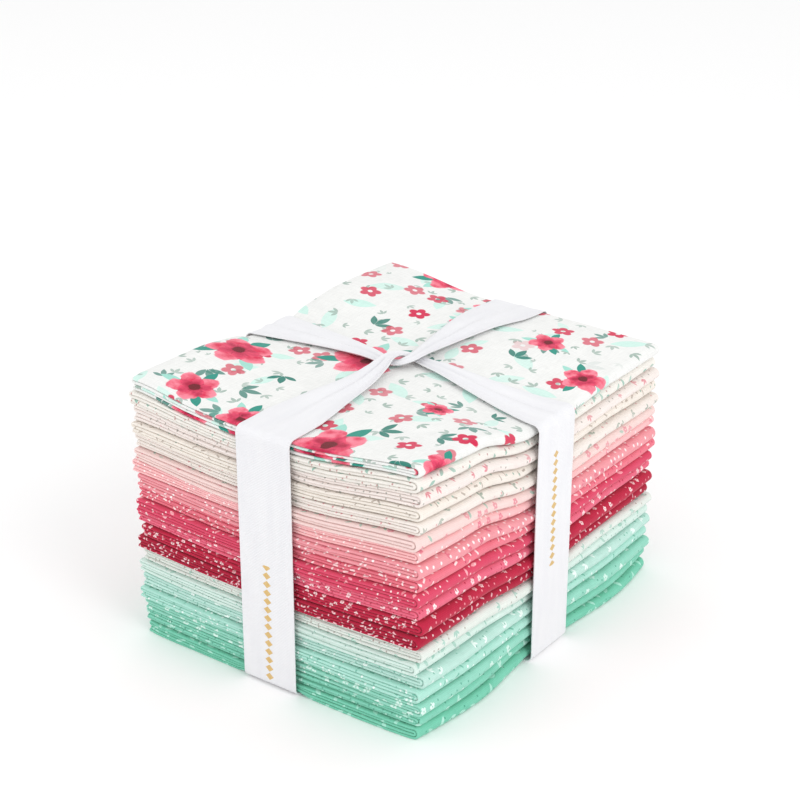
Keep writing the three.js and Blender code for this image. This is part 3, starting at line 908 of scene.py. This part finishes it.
def top_path(flip):
    """Ribbon over the top, from the front edge to the fold side, or turned half round about the middle."""
    plan = [(row["x"], row["y"], row["rise"]) for row in TWIST_PLAN]
    front = [(0.0, -reach, 0.0) for reach in (ribbon_face("y") - RIBBON_BEND, FRONT_FLAT)]
    fold = [(reach, 0.0, 0.0) for reach in (FOLD_FLAT, ribbon_face("x") - RIBBON_BEND)]
    path = curve_through(front + plan + fold, TOP_STEPS)
    x, y = (flip * path[:, 0], flip * path[:, 1])
    return np.stack([x, y, stack_height(x, y) + RIBBON_CLEAR + path[:, 2]], axis=-1)


def ribbon_face(axis):
    """Distance of the ribbon's middle surface from the middle of the bundle on a face."""
    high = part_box("ribbon")[1]
    return (high.x if axis == "x" else high.y) / MM - RIBBON_INSET


def bend_points(centre, degrees, steps):
    angle = np.radians(np.linspace(*degrees, steps))
    return np.array(centre) + RIBBON_BEND * np.stack([np.cos(angle), np.sin(angle)], axis=-1)


def side_path(axis, sign, start):
    """Ribbon from below the bundle, up one face to its top edge."""
    face = ribbon_face(axis)
    below = BELOW_LEVELS[axis]
    edge = np.array([sign * (face - RIBBON_BEND)])
    edge_x, edge_y = (edge, 0 * edge) if axis == "x" else (0 * edge, edge)
    top = float(stack_height(edge_x, edge_y)[0]) + RIBBON_CLEAR
    along = np.linspace(start, face - RIBBON_BEND, SIDE_STEPS["below"])[:-1]
    run = np.stack([along, np.full(len(along), below)], axis=-1)
    lower = bend_points((face - RIBBON_BEND, below + RIBBON_BEND), (-90, 0), SIDE_STEPS["lower_bend"])
    rise = np.linspace(below + RIBBON_BEND, top - RIBBON_BEND, SIDE_STEPS["wall"])[1:-1]
    wall = np.stack([np.full(len(rise), face), rise], axis=-1)
    upper = bend_points((face - RIBBON_BEND, top - RIBBON_BEND), (0, 90), SIDE_STEPS["upper_bend"])[:-1]
    profile = np.concatenate([run, lower, wall, upper])
    reach = sign * profile[:, 0]
    zero = np.zeros_like(reach)
    return np.stack([reach, zero, profile[:, 1]] if axis == "x" else [zero, reach, profile[:, 1]], axis=-1)


def ribbon_path():
    """The whole ribbon, from its end under the bundle round both ways to its other end, beside the first.

    Gives its points and the direction across it at each: along X on its way in Y, along -Y on its way in X.
    """
    front = side_path("y", -1, BELOW_JOIN)
    fold = side_path("x", 1, 0.0)
    open_side = side_path("x", -1, 0.0)
    back = side_path("y", 1, BELOW_JOIN)
    first_top = top_path(1)
    second_top = top_path(-1)[::-1]
    runs = [
        (front, same_across(front, (1.0, 0.0, 0.0))),
        (first_top, across_heading(first_top)),
        (fold[::-1], same_across(fold, (0.0, -1.0, 0.0))),
        (open_side[1:], same_across(open_side[1:], (0.0, -1.0, 0.0))),
        (second_top, across_heading(second_top)),
        (back[::-1], same_across(back, (1.0, 0.0, 0.0))),
    ]
    return (np.concatenate(part) for part in zip(*runs))


def same_across(path, direction):
    return np.tile(direction, (len(path), 1))


def across_heading(path):
    """Level direction to the right of a path's heading."""
    heading = np.gradient(path, axis=0)
    right = np.stack([heading[:, 1], -heading[:, 0], np.zeros(len(path))], axis=-1)
    return right / np.linalg.norm(right, axis=1, keepdims=True)


def ribbon_grid():
    """Grid of the ribbon's points, each one's place on the flat ribbon, and the ribbon's length."""
    path, side = ribbon_path()
    length = np.concatenate([[0.0], np.cumsum(np.linalg.norm(np.diff(path, axis=0), axis=1))])
    out = np.cross(side, np.gradient(path, axis=0))
    out /= np.linalg.norm(out, axis=1, keepdims=True)
    x, y, z = path.T
    reach = np.hypot(x, y) + np.maximum(stack_height(x, y) + RIBBON_CLEAR - z, 0.0)
    width = WAIST + (RIBBON_WIDTH - WAIST) * np.clip((reach - WIDEN_FROM) / WIDEN_OVER, 0.0, 1.0)
    gather = np.interp(reach, PLEAT_REACH, PLEAT_HEIGHT)
    share = np.linspace(-1.0, 1.0, RIBBON_COLUMNS)
    uneven = share + PLEAT_UNEVEN["share"] * np.sin(PLEAT_UNEVEN["turns"] * share)
    pleat = 1 + np.sin(math.pi * PLEAT_WAVES * uneven + PLEAT_START)
    points = (path[:, None] + side[:, None] * (share[None, :, None] * width[:, None, None] / 2)
              + out[:, None] * (gather[:, None] * pleat[None, :])[..., None])
    flat = (np.broadcast_to(length[:, None], points.shape[:2]),
            np.broadcast_to((share + 1) / 2 * RIBBON_WIDTH, points.shape[:2]))
    return points, flat, float(length[-1])


# The scene

def add_quarters():
    for index, print_row in enumerate(PRINTS):
        number = f"{index + 1:02d}"
        node = "fat_quarter_" + number
        fineness = TOP_FINENESS if index == QUARTER_COUNT - 1 else 1
        points, flat, image = folded_quarter(index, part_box(node), fineness)
        material = cotton("cotton_print_" + number, print_row, PRINT_SEED + index)
        thick = PRESSED_PLY_THICK if index == 0 else PLY_THICK
        piece = sheet_object("quarter_cloth_" + number, points, flat, thick, material, image)
        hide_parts(node)
        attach(piece, "root")


def add_ribbon():
    points, flat, length = ribbon_grid()
    piece = sheet_object("ribbon_tie", points, flat, RIBBON_THICK, ribbon_material())
    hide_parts("ribbon")
    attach(piece, "root")
    length * MM


def add_camera():
    azimuth = math.radians(CAMERA_AZIMUTH_DEG)
    elevation = math.radians(CAMERA_ELEVATION_DEG)
    level = math.cos(elevation)
    back = Vector((math.sin(azimuth) * level, -math.cos(azimuth) * level, math.sin(elevation)))
    data = bpy.data.cameras.new("camera")
    data.sensor_width = CAMERA_SENSOR
    data.lens = CAMERA_LENS
    data.clip_start = CAMERA_CLIP * MM
    camera = bpy.data.objects.new("camera", data)
    camera.location = (Vector(CAMERA_AIM) + back * CAMERA_DISTANCE) * MM
    camera.rotation_euler = back.to_track_quat("Z", "Y").to_euler()
    bpy.context.scene.collection.objects.link(camera)
    bpy.context.scene.camera = camera


def add_light(name, place, size, power):
    data = bpy.data.lights.new(name, "AREA")
    data.shape = "DISK"
    data.size = size
    data.energy = power
    light = bpy.data.objects.new(name, data)
    light.location = place
    light.rotation_euler = (Vector(place) - Vector(LIGHT_AIM)).to_track_quat("Z", "Y").to_euler()
    bpy.context.scene.collection.objects.link(light)


def add_floor():
    corners = [(-1, -1), (1, -1), (1, 1), (-1, 1)]
    mesh = bpy.data.meshes.new("floor")
    mesh.from_pydata([(x * FLOOR_REACH, y * FLOOR_REACH, 0) for x, y in corners], [], [(0, 1, 2, 3)])
    mesh.materials.append(plain_material("floor_pale", FLOOR_HUE, FLOOR_ROUGHNESS))
    floor = bpy.data.objects.new("floor", mesh)
    bpy.context.scene.collection.objects.link(floor)


def add_studio():
    """A pale floor, an even white surround and three soft lights."""
    add_floor()
    world = bpy.data.worlds.new("surround")
    world.use_nodes = True
    background = world.node_tree.nodes["Background"]
    background.inputs["Color"].default_value = (1.0, 1.0, 1.0, 1.0)
    background.inputs["Strength"].default_value = SURROUND_STRENGTH
    bpy.context.scene.world = world
    for light in LIGHTS:
        add_light(**light)
    bpy.context.scene.view_settings.view_transform = "Standard"


add_camera()
add_quarters()
add_ribbon()
add_studio()
